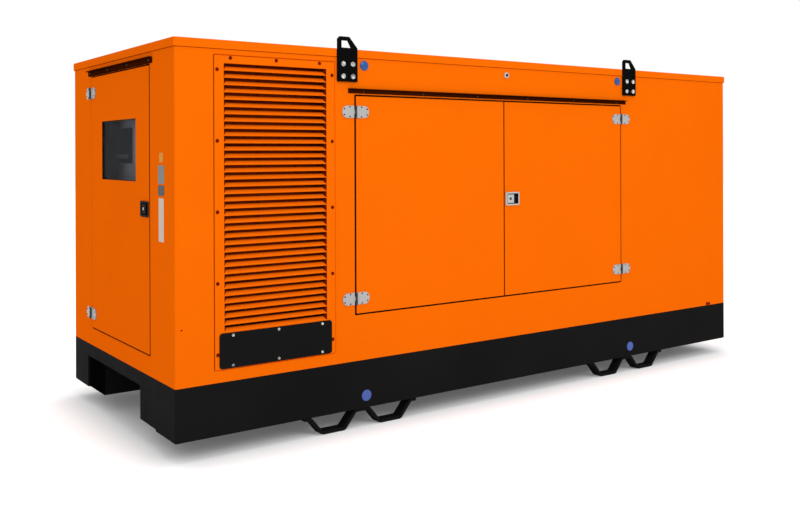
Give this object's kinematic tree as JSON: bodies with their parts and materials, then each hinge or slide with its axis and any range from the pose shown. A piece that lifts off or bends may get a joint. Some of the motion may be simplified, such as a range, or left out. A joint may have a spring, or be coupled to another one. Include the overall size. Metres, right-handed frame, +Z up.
{
  "type": "diesel generator set",
  "caption": "Silenced diesel generator set: box canopy with hinged side and end doors, louvred air inlets and lifting lugs, on a base frame with fork loops.",
  "frame": {"origin": "middle of the footprint on the floor, under the bounding box's centre", "axes": "+X along the set from the control end to the radiator end, -Y faces the side seen in the picture, +Z up"},
  "size_m": [3.843, 1.476, 1.884],
  "materials": {
    "orange_paint": "semi-gloss powder coat",
    "black_paint": "satin powder coat",
    "hinge_zinc": "zinc-plated",
    "latch_steel": "brushed",
    "black_plastic": "moulded",
    "window": "tinted",
    "engine_paint": "engine enamel",
    "alternator_paint": "enamel",
    "core_black": "black-coated fins",
    "exhaust_steel": "heat-proof paint",
    "cabinet_grey": "textured powder coat"
  },
  "bodies": {
    "set": {"rail_front": "black_paint", "rail_rear": "black_paint", "deck": "black_paint", "fork_loops_front": "black_paint", "fork_loops_rear": "black_paint", "front_wall": "orange_paint", "rear_wall": "orange_paint", "control_end_wall": "orange_paint", "radiator_end_wall": "orange_paint", "roof": "orange_paint", "roof_grille": "black_paint", "front_louvre_panel": "orange_paint", "rear_louvre_panel": "orange_paint", "front_foot_cover": "black_paint", "rear_foot_cover": "black_paint", "lugs_front": "black_paint", "lugs_rear": "black_paint", "drip_rail_front": "black_paint", "drip_rail_rear": "black_paint", "drip_rail_end": "black_paint", "rear_doors": "orange_paint", "jamb_hinges": "hinge_zinc", "rear_hinges": "hinge_zinc", "rear_latch": "latch_steel", "set_rails": "black_paint", "alternator": "alternator_paint", "engine": "engine_paint", "fan": "black_paint", "radiator": "core_black", "exhaust": "exhaust_steel", "silencer": "exhaust_steel", "air_cleaner": "black_plastic", "battery": "black_plastic", "control_cabinet": "cabinet_grey"},
    "left_door": {"left_door": "orange_paint", "left_door_hinges": "hinge_zinc"},
    "right_door": {"right_door": "orange_paint", "right_door_hinges": "hinge_zinc", "side_latch": "latch_steel"},
    "side_paddle": {"side_paddle": "latch_steel"},
    "end_door": {"end_door": "orange_paint", "end_window": "window", "end_door_hinges": "hinge_zinc", "end_latch": "black_plastic"},
    "end_paddle": {"end_paddle": "black_plastic"}
  },
  "joints": [
    {"name": "left_door_swing", "type": "hinge", "parent": "set", "child": "left_door", "pos_m": [-0.99, -0.7275, 1.0775], "axis": [0, 0, -1], "range_deg": [0, 160]},
    {"name": "right_door_swing", "type": "hinge", "parent": "set", "child": "right_door", "pos_m": [0.904, -0.7275, 1.0775], "axis": [0, 0, 1], "range_deg": [0, 160]},
    {"name": "end_door_swing", "type": "hinge", "parent": "set", "child": "end_door", "pos_m": [-1.911, 0.4235, 1.0775], "axis": [0, 0, -1], "range_deg": [0, 160]},
    {"name": "side_paddle_pull", "type": "hinge", "parent": "right_door", "child": "side_paddle", "pos_m": [-0.00999, -0.72, 1.076], "axis": [0, 0, -1], "range_deg": [0, 40], "stiffness_Nm_per_rad": 0.6},
    {"name": "end_paddle_pull", "type": "hinge", "parent": "end_door", "child": "end_paddle", "pos_m": [-1.9035, -0.332, 1.076], "axis": [0, 0, -1], "range_deg": [0, 40], "stiffness_Nm_per_rad": 0.6}
  ]
}
